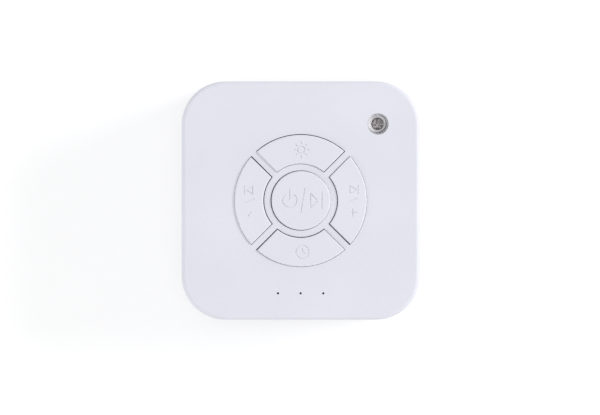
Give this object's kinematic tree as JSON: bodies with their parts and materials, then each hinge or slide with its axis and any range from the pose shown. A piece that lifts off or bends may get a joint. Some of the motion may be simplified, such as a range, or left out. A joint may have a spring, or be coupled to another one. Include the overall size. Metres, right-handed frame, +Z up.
{
  "type": "white noise sound machine",
  "caption": "Square bedside sound machine with a round cluster of push keys, a night light and a floor-facing speaker",
  "frame": {"origin": "centre of the case on the table, at the underside of the rubber feet", "axes": "+Z up through the key face, +Y towards the back wall with the charging socket, +X to the side of the night light"},
  "size_m": [0.1, 0.1, 0.0471],
  "materials": {
    "shell_plastic": "matte",
    "key_plastic": "matte",
    "switch_plastic": "matte",
    "switch_metal": "satin",
    "board_laminate": "satin",
    "chip_epoxy": "matte",
    "capacitor_can": "satin",
    "resistor_ceramic": "satin",
    "lamp_epoxy": "gloss",
    "clear_plastic": "gloss",
    "clear_epoxy": "gloss",
    "plated_steel": "satin",
    "socket_insert": "matte",
    "cell_can": "satin",
    "cell_sleeve": "satin",
    "foam": "matte",
    "nickel": "satin",
    "mesh_cloth": "matte",
    "gasket_fibre": "matte",
    "basket_steel": "satin",
    "ferrite": "matte",
    "cone_paper": "matte",
    "coil_copper": "satin",
    "surround_rubber": "matte",
    "spider_cloth": "matte",
    "terminal_board": "matte",
    "screw_steel": "satin",
    "foot_rubber": "matte",
    "connector_nylon": "satin",
    "red_insulation": "satin",
    "black_insulation": "satin"
  },
  "bodies": {
    "case": {"top_case": "shell_plastic", "bottom_case": "shell_plastic", "switch_housings": "switch_plastic", "switch_covers": "switch_metal", "main_board": "board_laminate", "indicator_lamps": "lamp_epoxy", "night_light_lens": "clear_plastic", "night_light_pins": "plated_steel", "night_light_lamp": "clear_epoxy", "socket_shell": "plated_steel", "socket_tongue": "socket_insert", "battery_cell": "cell_can", "battery_sleeve": "cell_sleeve", "battery_pads": "foam", "battery_straps": "nickel", "battery_protection_board": "board_laminate", "speaker_cloth": "mesh_cloth", "speaker_gasket": "gasket_fibre", "speaker_basket": "basket_steel", "speaker_top_plate": "plated_steel", "speaker_magnet": "ferrite", "speaker_yoke": "plated_steel", "speaker_surround": "surround_rubber", "speaker_spider": "spider_cloth", "speaker_terminals": "terminal_board", "case_screws": "screw_steel", "board_screws": "screw_steel", "speaker_screws": "screw_steel", "rubber_feet": "foot_rubber", "wire_headers": "connector_nylon", "wire_plugs": "connector_nylon", "board_chips": "chip_epoxy", "board_capacitors": "capacitor_can", "board_passives": "resistor_ceramic", "battery_lead_red": "red_insulation", "battery_lead_black": "black_insulation", "speaker_lead_red": "red_insulation", "speaker_lead_black": "black_insulation"},
    "power_key": {"key_power": "key_plastic", "plunger_power": "switch_plastic"},
    "light_key": {"key_light": "key_plastic", "plunger_light": "switch_plastic"},
    "previous_key": {"key_previous": "key_plastic", "plunger_previous": "switch_plastic"},
    "next_key": {"key_next": "key_plastic", "plunger_next": "switch_plastic"},
    "timer_key": {"key_timer": "key_plastic", "plunger_timer": "switch_plastic"},
    "cone": {"speaker_cone": "cone_paper", "speaker_voice_coil": "coil_copper", "speaker_dust_cap": "cone_paper"}
  },
  "joints": [
    {"name": "power_key_press", "type": "slide", "parent": "case", "child": "power_key", "axis": [0, 0, -1], "range_m": [0, 0.0003], "stiffness_N_per_m": 1500, "springref_m": -0.0002},
    {"name": "light_key_press", "type": "slide", "parent": "case", "child": "light_key", "axis": [0, 0, -1], "range_m": [0, 0.0003], "stiffness_N_per_m": 1500, "springref_m": -0.0002},
    {"name": "previous_key_press", "type": "slide", "parent": "case", "child": "previous_key", "axis": [0, 0, -1], "range_m": [0, 0.0003], "stiffness_N_per_m": 1500, "springref_m": -0.0002},
    {"name": "next_key_press", "type": "slide", "parent": "case", "child": "next_key", "axis": [0, 0, -1], "range_m": [0, 0.0003], "stiffness_N_per_m": 1500, "springref_m": -0.0002},
    {"name": "timer_key_press", "type": "slide", "parent": "case", "child": "timer_key", "axis": [0, 0, -1], "range_m": [0, 0.0003], "stiffness_N_per_m": 1500, "springref_m": -0.0002},
    {"name": "cone_stroke", "type": "slide", "parent": "case", "child": "cone", "axis": [0, 0, 1], "range_m": [-0.0005, 0.0005], "stiffness_N_per_m": 900, "deforming": ["speaker_surround", "speaker_spider"]}
  ]
}
